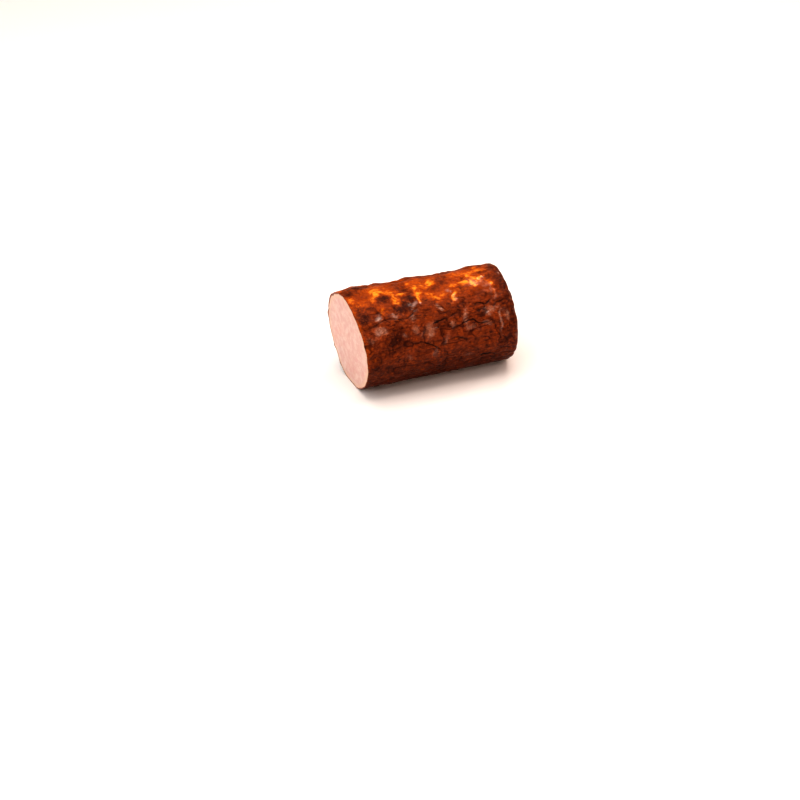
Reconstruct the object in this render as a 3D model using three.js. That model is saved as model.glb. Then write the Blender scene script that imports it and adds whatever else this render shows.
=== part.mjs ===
// Grill sausage: one thick piece of smoked sausage. One end is a fresh straight cut, the other is the
// sausage's own closed, blunt end. The skin is wrinkled, and the piece lies on a slightly sagged flat.
//
// Millimetres, +Z up. +X runs from the cut to the closed end, +Y points to the back. The origin is
// under the middle of the piece, on the surface that it lies on.

import * as THREE from "three";

// Driving dimensions, in millimetres, and slopes in millimetres of x for each millimetre of y or z

const DIAMETER = 58;
const LENGTH = 100; // on the axis, from the cut to the tip of the closed end
const END_DEPTH = 6; // how far the closed end swells past the straight side
const END_SQUARENESS = 2.8; // exponent of the closed end's outline, where 2 is a plain ellipse
const CUT_LEAN = -0.0708; // the cut's slope over z: its top hangs over to the left
const CUT_TURN = -0.0577; // the cut's slope over y
const END_LEAN = -0.08; // the closed end's slope over z: its top is drawn back
const END_TURN = 0.06; // the closed end's slope over y

const SAG_HEIGHT = 1.2; // how far the soft underside spreads past the round section
const SAG_SPREAD = 26; // degrees to each side of straight down over which the sag fades
const CALM_HEIGHTS = [1, 9]; // the relief grows from nothing to full between these heights

// Relief of the skin. Sizes are those of one swell or one pillow, along the piece and across it.

const SWELLS = [
  { along: 34, across: 26, height: 0.75, seed: 11 },
  { along: 14, across: 10, height: 0.4, seed: 23 },
];
const PILLOWS = { along: 13, across: 8, depth: 0.8, groove: 0.3, warp: 3, seed: 37 };
const PILLOW_STRENGTH = { size: 24, least: 0.3, seed: 41 };

// Waves of the back's upper edge, in its own place: where along the piece, how high and how long.

const EDGE_DIRECTION = 61; // degrees from +Y towards +Z
const EDGE_REACH = 26; // degrees to each side
const EDGE_WAVES = [
  { at: 11.5, height: 1.3, length: 5 },
  { at: 19, height: 0.8, length: 5 },
  { at: 33, height: -0.6, length: 5 },
  { at: 42, height: 1.2, length: 6 },
  { at: 50, height: 1.3, length: 4.5 },
  { at: 61, height: -0.4, length: 9 },
  { at: 87, height: 1, length: 9 },
];

// Facets

const ROUND_STEPS = 80;
const SIDE_STEPS = 52; // from the cut's rim to the tip of the closed end
const CUT_RINGS = [0.3, 0.6, 0.85]; // rings of the cut face, as parts of its radius

const SKIN = { color: 0x6e2410, roughness: 0.35, metalness: 0 };

const RADIUS = DIAMETER / 2;
const SIDE_LENGTH = LENGTH - END_DEPTH;

function smoothStep(low, high, value) {
  return THREE.MathUtils.smoothstep(value, low, high);
}

function bell(distance, width) {
  return Math.exp(-((distance / width) ** 2));
}

// A repeatable number from 0 to 1 for each point of a whole-number grid.
function gridValue(ix, iy, iz, seed) {
  let h = Math.imul(ix, 0x8da6b343) ^ Math.imul(iy, 0xd8163841) ^ Math.imul(iz, 0xcb1ab31f);
  h = Math.imul(h ^ seed, 0x9e3779b1);
  h = Math.imul(h ^ (h >>> 15), 0x85ebca6b);
  h = Math.imul(h ^ (h >>> 13), 0xc2b2ae35);
  return ((h ^ (h >>> 16)) >>> 0) / 2 ** 32;
}

// Soft noise from -1 to 1: grid values mixed by a smooth curve between the grid's points.
function softNoise(x, y, z, seed) {
  const [ix, iy, iz] = [x, y, z].map(Math.floor);
  const [fx, fy, fz] = [x - ix, y - iy, z - iz].map((f) => f * f * (3 - 2 * f));
  let sum = 0;
  for (let corner = 0; corner < 8; corner++) {
    const [cx, cy, cz] = [corner & 1, (corner >> 1) & 1, corner >> 2];
    const share = (cx ? fx : 1 - fx) * (cy ? fy : 1 - fy) * (cz ? fz : 1 - fz);
    sum += share * gridValue(ix + cx, iy + cy, iz + cz, seed);
  }
  return 2 * sum - 1;
}

// How much further the second nearest of a set of scattered points is than the nearest: 0 on the
// borders of the cells round those points, and larger inside them.
function cellDepth(x, y, z, seed) {
  const [ix, iy, iz] = [x, y, z].map(Math.floor);
  let nearest = Infinity;
  let second = Infinity;
  for (let dx = -1; dx <= 1; dx++) {
    for (let dy = -1; dy <= 1; dy++) {
      for (let dz = -1; dz <= 1; dz++) {
        const [cx, cy, cz] = [ix + dx, iy + dy, iz + dz];
        const px = cx + gridValue(cx, cy, cz, seed) - x;
        const py = cy + gridValue(cx, cy, cz, seed + 1) - y;
        const pz = cz + gridValue(cx, cy, cz, seed + 2) - z;
        const distance = Math.hypot(px, py, pz);
        second = Math.min(second, Math.max(nearest, distance));
        nearest = Math.min(nearest, distance);
      }
    }
  }
  return second - nearest;
}

// Broad swells, the pillows with furrows between them and the waves of the upper edge. Positive is
// out of the skin. The point is measured from the axis at the cut.
function relief(point) {
  let height = 0;
  for (const swell of SWELLS) {
    const { along, across, seed } = swell;
    height += swell.height * softNoise(point.x / along, point.y / across, point.z / across, seed);
  }
  const { along, across, warp, seed } = PILLOWS;
  const shift = (warp / across) * softNoise(point.x / along, point.y / across, point.z / across, seed + 9);
  const depth = cellDepth(point.x / along + shift, point.y / across + shift, point.z / across, seed);
  const { size, least, seed: strengthSeed } = PILLOW_STRENGTH;
  const patch = softNoise(point.x / size, point.y / size, point.z / size, strengthSeed);
  const strength = least + (1 - least) * smoothStep(-0.4, 0.4, patch);
  height -= PILLOWS.depth * strength * bell(depth, PILLOWS.groove);
  const direction = THREE.MathUtils.radToDeg(Math.atan2(point.z, point.y));
  const edge = bell(direction - EDGE_DIRECTION, EDGE_REACH) * smoothStep(0, RADIUS, point.z);
  for (const wave of EDGE_WAVES) {
    height += wave.height * edge * bell(point.x - wave.at, wave.length);
  }
  return height * smoothStep(...CALM_HEIGHTS, point.z + RADIUS);
}

// The side and the closed end as one curve, in x along the axis and y as the distance from it. The
// first part of the parameter is the straight side, the rest a quarter of a squarish ellipse.
class SideOutline extends THREE.Curve {
  getPoint(t, target = new THREE.Vector3()) {
    const share = SIDE_LENGTH / (SIDE_LENGTH + RADIUS);
    if (t < share) {
      return target.set((t / share) * SIDE_LENGTH, RADIUS, 0);
    }
    const turn = (((t - share) / (1 - share)) * Math.PI) / 2;
    const out = Math.max(Math.sin(turn), 0) ** (2 / END_SQUARENESS);
    const shrink = Math.max(Math.cos(turn), 0) ** (2 / END_SQUARENESS);
    return target.set(SIDE_LENGTH + END_DEPTH * out, RADIUS * shrink, 0);
  }
}

// The outward direction of the outline at one of its points, in the same x and y.
function outlineNormal(point) {
  const out = Math.max(point.x - SIDE_LENGTH, 0) / END_DEPTH;
  const away = point.y / RADIUS;
  const nx = out ** (END_SQUARENESS - 1) / END_DEPTH;
  const ny = away ** (END_SQUARENESS - 1) / RADIUS;
  return new THREE.Vector2(nx, ny).normalize();
}

// A point of the skin: the round form, swollen at the underside, moved out by the relief, cut off
// flat where it rests, and leant between the slopes of the two ends.
function skinPoint(outline, turn) {
  const direction = new THREE.Vector3(0, Math.cos(turn), Math.sin(turn));
  const base = direction.clone().multiplyScalar(outline.y).setX(outline.x);
  const fromDown = THREE.MathUtils.radToDeg(Math.acos(-direction.z));
  const sag = SAG_HEIGHT * bell(fromDown, SAG_SPREAD);
  const normal = outlineNormal(outline);
  const height = relief(base);
  const point = base.addScaledVector(direction, sag * normal.y + height * normal.y);
  point.x += height * normal.x;
  point.z = Math.max(point.z, -RADIUS);
  const share = smoothStep(0, SIDE_LENGTH, outline.x);
  point.x += THREE.MathUtils.lerp(CUT_TURN, END_TURN, share) * point.y;
  point.x += THREE.MathUtils.lerp(CUT_LEAN, END_LEAN, share) * point.z;
  return point;
}

// The closed form as rings of points: the cut's middle, the cut face, the skin and the closed tip.
function buildForm() {
  const turns = Array.from({ length: ROUND_STEPS }, (_, i) => (i / ROUND_STEPS) * 2 * Math.PI);
  const outline = new SideOutline();
  outline.arcLengthDivisions = 2000;
  const skin = outline.getSpacedPoints(SIDE_STEPS).map((point) => turns.map((turn) => skinPoint(point, turn)));
  const tip = skin.pop()[0];
  const cut = CUT_RINGS.map((share) => skin[0].map((point) => point.clone().multiplyScalar(share)));
  const rings = [...cut, ...skin];
  const points = [new THREE.Vector3(0, 0, 0), ...rings.flat(), tip];

  const faces = [];
  const index = (ring, i) => 1 + ring * ROUND_STEPS + (i % ROUND_STEPS);
  for (let i = 0; i < ROUND_STEPS; i++) {
    faces.push(0, index(0, i + 1), index(0, i));
    for (let ring = 0; ring < rings.length - 1; ring++) {
      faces.push(index(ring, i), index(ring, i + 1), index(ring + 1, i));
      faces.push(index(ring, i + 1), index(ring + 1, i + 1), index(ring + 1, i));
    }
    const last = rings.length - 1;
    faces.push(index(last, i), index(last, i + 1), points.length - 1);
  }
  const geometry = new THREE.BufferGeometry().setFromPoints(points);
  geometry.setIndex(faces);
  return geometry;
}

// Puts the origin under the middle of the form, at the height of its flat underside.
function standOnOrigin(geometry) {
  geometry.computeBoundingBox();
  const middle = geometry.boundingBox.getCenter(new THREE.Vector3());
  geometry.translate(-middle.x, -middle.y, -geometry.boundingBox.min.z);
  geometry.computeVertexNormals();
  return geometry;
}

const sausage = new THREE.Mesh(standOnOrigin(buildForm()), new THREE.MeshStandardMaterial(SKIN));
sausage.name = "sausage";

const grillSausage = new THREE.Group();
grillSausage.add(sausage);

export default grillSausage;
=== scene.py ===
"""A thick piece of smoked grill sausage, lying on a pale studio floor.

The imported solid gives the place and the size. One closed mesh stands for it. It is worked out on a grid
of two parameters: the turn round the piece, and the way along its outline from the middle of the cut
face over the rim and the side to the tip of the closed end. Lengths are in millimetres until the mesh
is written in metres. Turns are in degrees from straight up towards the front.
"""

import logging
import math
from dataclasses import dataclass, field
from enum import Enum
from typing import Any

import bpy
import numpy as np
from mathutils import Euler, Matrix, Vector


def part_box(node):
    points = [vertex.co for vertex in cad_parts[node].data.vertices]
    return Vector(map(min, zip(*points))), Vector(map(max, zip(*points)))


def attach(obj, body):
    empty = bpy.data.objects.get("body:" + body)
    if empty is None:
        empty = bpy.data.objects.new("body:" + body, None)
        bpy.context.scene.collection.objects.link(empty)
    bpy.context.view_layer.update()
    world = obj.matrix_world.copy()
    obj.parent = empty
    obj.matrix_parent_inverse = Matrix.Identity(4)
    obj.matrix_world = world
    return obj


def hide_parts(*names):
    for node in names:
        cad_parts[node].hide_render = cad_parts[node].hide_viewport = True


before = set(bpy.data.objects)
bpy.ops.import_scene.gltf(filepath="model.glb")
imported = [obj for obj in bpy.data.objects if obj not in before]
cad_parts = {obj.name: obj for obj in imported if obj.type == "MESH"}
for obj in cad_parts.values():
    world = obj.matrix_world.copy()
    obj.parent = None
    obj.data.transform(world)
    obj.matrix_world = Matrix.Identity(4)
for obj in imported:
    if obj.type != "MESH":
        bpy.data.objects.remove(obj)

log = logging.getLogger("grill_sausage")

NODE = "sausage"
BODY = "root"
MM = 0.001

Array = np.ndarray


class Surface(Enum):
    """The two surfaces of the piece, in the order of its material slots."""

    SKIN = 0
    MEAT = 1


# Noise

def grid_value(ix: Array, iy: Array, iz: Array, seed: int) -> Array:
    """Gives a repeatable number from 0 to 1 for each point of a whole-number grid.

    Args:
        ix, iy, iz: whole-number places, of one shape.
        seed: picks one of many such fields.

    Returns:
        An array of that shape.
    """
    word = [np.asarray(i, np.int64).astype(np.uint32) for i in (ix, iy, iz)]
    h = word[0] * np.uint32(0x8DA6B343) ^ word[1] * np.uint32(0xD8163841) ^ word[2] * np.uint32(0xCB1AB31F)
    h = (h ^ np.uint32(seed)) * np.uint32(0x9E3779B1)
    h = (h ^ (h >> np.uint32(15))) * np.uint32(0x85EBCA6B)
    h = (h ^ (h >> np.uint32(13))) * np.uint32(0xC2B2AE35)
    return (h ^ (h >> np.uint32(16))) / 2.0**32


def soft_noise(x: Array, y: Array, z: Array, seed: int) -> Array:
    """Mixes grid values by the curve 3f² - 2f³ of the place f between the grid's points.

    Args:
        x, y, z: places in units of one swell of the noise.
        seed: picks one of many such fields.

    Returns:
        Values from -1 to 1.
    """
    whole = [np.floor(v) for v in (x, y, z)]
    part = [v - w for v, w in zip((x, y, z), whole)]
    part = [f * f * (3 - 2 * f) for f in part]
    total = np.zeros(np.broadcast(x, y, z).shape)
    for corner in np.ndindex(2, 2, 2):
        share = np.ones_like(total)
        for f, c in zip(part, corner):
            share = share * (f if c else 1 - f)
        total += share * grid_value(*(w + c for w, c in zip(whole, corner)), seed)
    return 2 * total - 1


def cell_depth(x: Array, y: Array, z: Array, seed: int) -> Array:
    """Tells how much further the second nearest of a set of scattered points is than the nearest.

    Args:
        x, y, z: places in units of one cell, which holds one point.
        seed: picks one of many such sets.

    Returns:
        0 on the borders of the cells round the points, and larger inside them.
    """
    whole = [np.floor(v) for v in (x, y, z)]
    nearest = np.full(np.broadcast(x, y, z).shape, np.inf)
    second = nearest.copy()
    for step in np.ndindex(3, 3, 3):
        cell = [w + s - 1 for w, s in zip(whole, step)]
        gaps = [c + grid_value(*cell, seed + i) - v for i, (c, v) in enumerate(zip(cell, (x, y, z)))]
        distance = np.sqrt(sum(g * g for g in gaps))
        second = np.minimum(second, np.maximum(nearest, distance))
        nearest = np.minimum(nearest, distance)
    return second - nearest


def swirled(x: Array, y: Array, z: Array, size: float, push: float) -> tuple[Array, Array, Array]:
    """Turns places by 37 degrees round the axis and pushes them about, which hides a noise's grid.

    Args:
        x, y, z: places.
        size: of one swell of the push, in the same units.
        push: how far they are pushed, in the same units.

    Returns:
        The new places.
    """
    turned = (x, 0.8 * y + 0.6 * z, 0.8 * z - 0.6 * y)
    return tuple(v + push * soft_noise(x / size, y / size, z / size, 141 + i) for i, v in enumerate(turned))


def smooth_step(low: float, high: float, value: Array) -> Array:
    """Rises from 0 at low to 1 at high by the curve 3f² - 2f³."""
    f = np.clip((value - low) / (high - low), 0, 1)
    return f * f * (3 - 2 * f)


def bell(distance: Array, width: float) -> Array:
    """Falls from 1 as the square of distance over width grows: exp(-(d / w)²)."""
    return np.exp(-((distance / width) ** 2))


def wrapped(turn: Array, middle: float) -> Array:
    """Brings the difference of two turns, in degrees, into -180 to 180."""
    return (turn - middle + 180) % 360 - 180


# Form

@dataclass(frozen=True)
class Places:
    """Points of the skin's grid on the round form, before the relief.

    Attributes:
        way: millimetres along the outline, from the rim to the tip.
        turn: degrees from straight up towards the front.
        x, y, z: millimetres from the axis at the cut.
    """

    way: Array
    turn: Array
    x: Array
    y: Array
    z: Array

    @property
    def xyz(self) -> tuple[Array, Array, Array]:
        """The three lengths together."""
        return self.x, self.y, self.z


@dataclass(frozen=True)
class RoundForm:
    """The smooth form under the relief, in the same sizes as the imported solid, in millimetres.

    Attributes:
        diameter: across the straight side.
        length: on the axis, from the cut to the tip of the closed end.
        end_depth: how far the closed end swells past the straight side.
        end_squareness: exponent of the closed end's outline, where 2 is a plain ellipse.
        cut_slope: the cut face's slope in x for each millimetre of y and of z.
        end_slope: the same for the closed end.
        sag_height: how far the soft underside spreads past the round section.
        sag_spread: degrees to each side of straight down over which the sag fades.
    """

    diameter: float = 58.0
    length: float = 100.0
    end_depth: float = 6.0
    end_squareness: float = 2.8
    cut_slope: tuple[float, float] = (-0.0577, -0.0708)
    end_slope: tuple[float, float] = (0.06, -0.08)
    sag_height: float = 1.2
    sag_spread: float = 26.0

    @property
    def radius(self) -> float:
        """Half the diameter."""
        return self.diameter / 2

    @property
    def side_length(self) -> float:
        """The length of the straight side on the axis."""
        return self.length - self.end_depth

    @property
    def degree(self) -> float:
        """The length on the side of one degree of turn."""
        return math.radians(1) * self.radius

    def outline(self, steps: int) -> tuple[Array, Array, Array]:
        """Spaces points evenly along the side and the closed end, from the rim to the tip.

        The side is a straight line. The end is a quarter of a squarish ellipse: at the angle a it is
        depth · sin(a)^(2/n) further out, and radius · cos(a)^(2/n) from the axis.

        Args:
            steps: how many points.

        Returns:
            The way along the outline, x and the distance from the axis, for each point.
        """
        turn = np.linspace(0, math.pi / 2, 4001)
        power = 2 / self.end_squareness
        x = np.append(0, self.side_length + self.end_depth * np.sin(turn) ** power)
        away = np.append(self.radius, self.radius * np.clip(np.cos(turn), 0, 1) ** power)
        way = np.append(0, np.cumsum(np.hypot(np.diff(x), np.diff(away))))
        even = np.linspace(0, way[-1], steps)
        return even, np.interp(even, way, x), np.interp(even, way, away)

    def outward(self, x: Array, away: Array) -> tuple[Array, Array]:
        """Gives the outline's outward direction, the slope of (x/depth)^n + (away/radius)^n.

        Args:
            x: places along the axis.
            away: distances from the axis.

        Returns:
            The direction's shares along the axis and away from it.
        """
        n = self.end_squareness
        out = (np.clip(x - self.side_length, 0, None) / self.end_depth) ** (n - 1) / self.end_depth
        off = (away / self.radius) ** (n - 1) / self.radius
        size = np.hypot(out, off)
        return out / size, off / size

    def place(self, x: Array, away: Array, turn: Array, height: Array) -> Array:
        """Places points of the skin: out by their height, rested on the floor and leant with the ends.

        Args:
            x: places along the axis.
            away: distances from the axis.
            turn: turns in radians from straight up towards the front.
            height: relief, positive out of the skin.

        Returns:
            Points in x, y and z, with z measured from the axis.
        """
        along, off = self.outward(x, away)
        sag = self.sag_height * bell(180 - np.abs(np.degrees(turn)), self.sag_spread)
        reach = away + (sag + height) * off
        y = -reach * np.sin(turn)
        z = np.maximum(reach * np.cos(turn), -self.radius)
        share = smooth_step(0, self.side_length, x)
        slopes = [c + (e - c) * share for c, e in zip(self.cut_slope, self.end_slope)]
        return np.stack([x + height * along + slopes[0] * y + slopes[1] * z, y, z], -1)


# Relief

@dataclass(frozen=True)
class Swell:
    """Soft unevenness: the size of one swell along the piece and across it, its height and its seed."""

    along: float
    across: float
    height: float
    seed: int

    def rise(self, x: Array, y: Array, z: Array) -> Array:
        """Gives noise between the height and its negative at places in millimetres."""
        return self.height * soft_noise(x / self.along, y / self.across, z / self.across, self.seed)


def total(swells: tuple[Swell, ...], x: Array, y: Array, z: Array) -> Array:
    """Adds up a few swells at places in millimetres."""
    return sum(swell.rise(x, y, z) for swell in swells)


def pushed(places: Places, wanders: tuple[tuple[float, float], ...], degree: float,
           seed: int) -> tuple[Array, Array]:
    """Pushes places about on the skin by noise.

    Args:
        places: the points.
        wanders: for each push, the size of one swell and how far it pushes, in millimetres.
        degree: the length of one degree of turn.
        seed: of the noise along the piece. The noise round it has the next one.

    Returns:
        The new ways and turns.
    """
    way, turn = places.way, places.turn
    for size, push in wanders:
        way = way + Swell(size, size, push, seed).rise(*places.xyz)
        turn = turn + Swell(size, size, push / degree, seed + 1).rise(*places.xyz)
    return way, turn


@dataclass(frozen=True)
class Wrinkles:
    """A net of furrows between pillows of skin.

    Attributes:
        along, across: size of one pillow.
        depth: of the furrows.
        groove: width of a furrow as a part of the pillow's size.
        warp: how far the net is pushed about.
        seed: of the net.
    """

    along: float
    across: float
    depth: float
    groove: float
    warp: float
    seed: int

    def sunk(self, x: Array, y: Array, z: Array) -> Array:
        """Gives how far each point is sunk, from 0 on a pillow to 1 in the middle of a furrow."""
        x, y, z = x / self.along, y / self.across, z / self.across
        shift = self.warp / self.across * soft_noise(x, y, z, self.seed + 9)
        return bell(cell_depth(x + shift, y + shift, z, self.seed), self.groove)


@dataclass(frozen=True)
class Crinkles:
    """Thin creases that wander mostly along the piece: the lines on which stretched noise is 0.

    Attributes:
        along, across: size of one swell of the noise, in millimetres.
        depth: of the creases, in millimetres.
        width: of a crease, in units of the noise.
        bare: the noise of the patches without creases, which hides more of them as it grows.
        seed: of the noise.
        patch: size of one such patch along the piece and across it, in millimetres.
        warp: how far the creases are pushed about, in units of the noise.
        finer, finer_share: how much finer a second noise is, and how strong.
    """

    along: float
    across: float
    depth: float
    width: float
    bare: float
    seed: int
    patch: tuple[float, float] = (11.0, 8.0)
    warp: float = 0.3
    finer: float = 2.3
    finer_share: float = 0.4

    def sunk(self, x: Array, y: Array, z: Array) -> Array:
        """Gives how far each point is sunk, from 0 beside the creases to 1 in the middle of one."""
        shown = Swell(*self.patch, 1, self.seed + 3).rise(x, y, z)
        x, y, z = x / self.along, y / self.across, z / self.across
        warp = self.warp * soft_noise(2 * x, y, z, self.seed + 1)
        level = soft_noise(x, y + warp, z + warp, self.seed)
        level += self.finer_share * soft_noise(*(self.finer * v for v in (x, y, z)), self.seed + 2)
        return bell(level, self.width) * smooth_step(self.bare, self.bare + 0.5, shown)


@dataclass(frozen=True)
class Crease:
    """A fold line of the skin through a few points.

    Attributes:
        path: points as (millimetres along the outline, degrees of turn).
        depth: in millimetres. A negative depth is a ridge.
        width: in millimetres.
    """

    path: tuple[tuple[float, float], ...]
    depth: float
    width: float = 0.5

    def nearest(self, way: Array, turn: Array, degree: float) -> tuple[Array, Array]:
        """Measures to the nearest point of the path's straight stretches.

        Args:
            way: millimetres along the outline.
            turn: turns in degrees.
            degree: the length of one degree of turn.

        Returns:
            The distance, and how far along the path that point is, from 0 to 1.
        """
        nearest, part = np.full_like(way, np.inf), np.zeros_like(way)
        for i, (start, end) in enumerate(zip(self.path, self.path[1:])):
            step = np.array([end[0] - start[0], (end[1] - start[1]) * degree])
            off = np.stack([way - start[0], wrapped(turn, start[1]) * degree])
            along = np.clip((off[0] * step[0] + off[1] * step[1]) / (step @ step), 0, 1)
            distance = np.hypot(off[0] - along * step[0], off[1] - along * step[1])
            part = np.where(distance < nearest, (i + along) / (len(self.path) - 1), part)
            nearest = np.minimum(nearest, distance)
        return nearest, part


@dataclass(frozen=True)
class Patch:
    """A patch of colour with soft edges.

    Attributes:
        at: its middle as (millimetres along the outline, degrees of turn).
        size: half its length and half its width, in millimetres.
        tilt: degrees that its length turns from along the piece towards the front.
        strength: of its colour.
    """

    at: tuple[float, float]
    size: tuple[float, float]
    tilt: float = 0.0
    strength: float = 1.0


def patches_of(*rows: tuple[float, ...]) -> tuple[Patch, ...]:
    """Makes patches of rows of way, turn, half length, half width, tilt and strength."""
    return tuple(Patch(row[:2], row[2:4], *row[4:]) for row in rows)


# Folds and patches that show. Their places were chosen feature by feature.

# Folds are grooves in the relief, and the skin is also painted dark in them as shade.
FOLDS_IN_FRONT = (
    Crease(((0, 53), (6, 51), (12, 47), (20, 45), (29, 47), (34, 42), (39, 36)), 0.6),
    Crease(((18, 60), (25, 57), (31, 56)), 0.3),
    Crease(((45, 60), (49, 57), (55, 55)), 0.8),
    Crease(((54, 56), (58, 52), (62, 47)), 0.45),
    Crease(((73, 46), (80, 46), (86, 42)), 0.8),
    Crease(((84, 51), (88, 48), (93, 44)), 0.5),
    Crease(((66, 52), (70, 56), (75, 53), (80, 49)), 0.4),
    Crease(((56, 69), (60, 66), (69, 64), (72, 68), (82, 67)), 0.8),
    Crease(((53, 82), (58, 80), (63, 83), (68, 84)), 0.5),
    Crease(((28, 77), (34, 77), (40, 83), (46, 90), (47, 99)), 0.45),
    Crease(((8, 79), (16, 81), (26, 79)), 0.35),
    Crease(((59, 102), (64, 96), (69, 95)), 0.4),
    Crease(((46, 98), (54, 104), (62, 105)), 0.4),
    Crease(((11, 93), (18, 91), (24, 88)), 0.35),
    Crease(((66, 109), (74, 113), (84, 112)), 0.4),
    Crease(((17, 24), (20, 19), (25, 15)), 0.35),
    Crease(((66, 23), (71, 21), (77, 24)), 0.3),
    Crease(((47, 40), (52, 42), (55, 47)), 0.3),
    Crease(((84, 88), (88, 92), (90, 99)), 0.4),
    Crease(((82, 14), (84.3, 21), (85.8, 29), (86.4, 37), (86, 46)), -1.1, 0.65),
    Crease(((84, 58), (87, 64), (88, 71), (86, 80), (87, 90)), -1.0, 0.65),
)

AMBER_ON_TOP = patches_of(
    (18, 3, 6, 3.4, -56, 0.9), (17.3, 8, 3.4, 3.2, 0, 0.95), (21.5, 4, 2.6, 2.6, 0, 0.8),
    (14, 14, 3.4, 2.2, -20, 0.65), (25.5, 7, 3.6, 3, 0, 0.95), (27, 15, 3.2, 3, 0, 0.95),
    (27, 22.5, 2.8, 3.2, 0, 1.0), (31.5, 14.5, 4, 1.4, -18, 0.75), (17, 31, 1.8, 3.4, 0, 0.7),
    (6, 18, 5, 3, 0, 0.4), (39.5, -3, 2.4, 5, 0, 0.5), (41, 10, 2, 5, 0, 0.9),
    (42.5, 18, 2.8, 2.2, 0, 1.0), (41, 26, 1.8, 4, 0, 0.85), (46.5, 10, 4, 2.4, 0, 0.75),
    (51, 4, 5.6, 2.6, -52, 0.95), (48.5, 24, 3, 2, 0, 0.6), (52.5, 29, 3.8, 2, 10, 0.8),
    (55.5, 26, 2.6, 2.6, 0, 0.7), (64, 16, 3.4, 2.2, -20, 0.75), (61, 35, 2.2, 1.7, -20, 0.95),
    (63, 31, 2.8, 1.6, -45, 0.9), (71, 14, 3.8, 2, 10, 0.9), (76, 18.5, 2.8, 3.2, 0, 1.0),
    (75.5, 4, 3, 5, 0, 0.75), (79.5, 12, 4.2, 2.6, 0, 0.95), (83, 9.5, 4.2, 2, -25, 0.95),
    (78, -4, 4, 4, 0, 0.65), (22, -5, 9, 4, 0, 0.35), (46, -4, 9, 4, 0, 0.3), (72, -5, 12, 5, 0, 0.4),
    (66, 24, 7, 4, 0, 0.25), (86.2, 33, 0.9, 5, 0, 0.5), (86.3, 22, 2.2, 3.2, 0, 0.65),
    (3, 9, 3, 4, 0, 0.5), (0.5, 40, 2, 18, 0, 0.35), (0.5, 78, 2, 8, 0, 0.3), (16, -7, 9, 4, 0, 0.4),
    (84, -5, 6, 4, 0, 0.55), (5.5, 91, 2.2, 2, 0, 0.5),
)

SMOKE_IN_FRONT = patches_of(
    (35, 6, 4.6, 8, 0, 0.7), (35.5, 23, 4.6, 4, 0, 0.9), (20.7, 17.5, 4.4, 2.4, -15, 1.0),
    (57.5, 6, 4.4, 5.5, 0, 0.6), (53, 15.5, 4, 2.2, 0, 0.55), (71.5, 6, 1.8, 1.8, 0, 0.6),
    (12, 25, 3, 4, 0, 0.4), (62, -3, 6, 4.5, 0, 0.5), (30, 35, 8, 3.2, 0, 1.0), (4, -6, 6, 4, 0, 0.9),
    (9, -14, 8, 3, 0, 0.9), (4, 24, 4, 5, 0, 0.55), (10, 27, 5, 3, 0, 0.7), (14, 35, 4, 4, 0, 0.7),
    (5, 37, 6, 4, 0, 0.7), (20, 70, 9, 8, 0, 0.75), (55, 66, 5, 3, 0, 0.7), (61, 50, 4, 3, 0, 0.7),
    (5, 99, 6, 9, 0, 0.9), (14, 108, 10, 7, 0, 0.8), (32, 112, 12, 4, 0, 0.5), (78, 113, 15, 6, 0, 0.6),
    (88, 102, 4, 12, 0, 0.7), (68, 22, 3.5, 2.4, 0, 0.6), (89, 12, 4, 3, 0, 0.7), (90, 52, 4, 8, 0, 0.6),
    (86.5, 0.5, 5, 2, 0, 0.75), (50, 52, 4, 3, 0, 0.5), (75, 60, 5, 3, 0, 0.4),
)

# Wet patches shine with their coat of fat, and the skin is also painted pale on them as sheen.
WET_IN_FRONT = patches_of(
    (12, 57, 4, 2.6, 0, 0.9), (23, 42, 3, 2, 0, 0.8), (14, 41, 3, 2.4, -30, 0.8),
    (33.5, 33, 1.2, 1.8, 0, 1.0), (37, 35, 3, 1.8, -50, 1.0), (41, 34.5, 0.9, 1.6, 0, 0.9),
    (25, 67, 1.6, 2, 0, 0.8), (33, 62, 2, 3, 0, 0.9), (41, 67, 4.5, 6, 40, 1.0), (32, 50, 2, 3, 0, 0.6),
    (50, 82, 3, 5, 30, 0.6), (57, 63, 2, 2, 0, 0.8), (51, 41, 2, 3, 0, 0.8), (66, 59, 2.4, 6, 0, 0.8),
    (68, 73, 5, 3, 0, 0.7), (81, 56, 5, 2.6, -30, 0.9), (79, 71, 3, 2, 0, 0.8), (84, 30, 3, 5, 0, 0.7),
    (60, 24, 1.6, 2.4, 0, 0.8), (27, 95, 3, 3, 0, 0.45), (43, 95, 2, 4, 0, 0.5), (64, 108, 6, 2, 0, 0.4),
    (91, 64, 2, 4, 0, 1.0), (85.2, 27, 0.9, 4, 20, 1.0), (86.4, 38, 1, 5, 0, 1.0),
    (87, 70, 0.9, 8, 0, 1.0), (6, 66, 4, 4, 0, 0.6), (78, 18, 6, 2, 0, 0.8), (84, 11, 5, 2, -30, 0.8),
    (74, 12, 4, 1.6, 15, 0.6), (62, 34, 3.4, 1.4, -30, 0.9),
)


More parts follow.
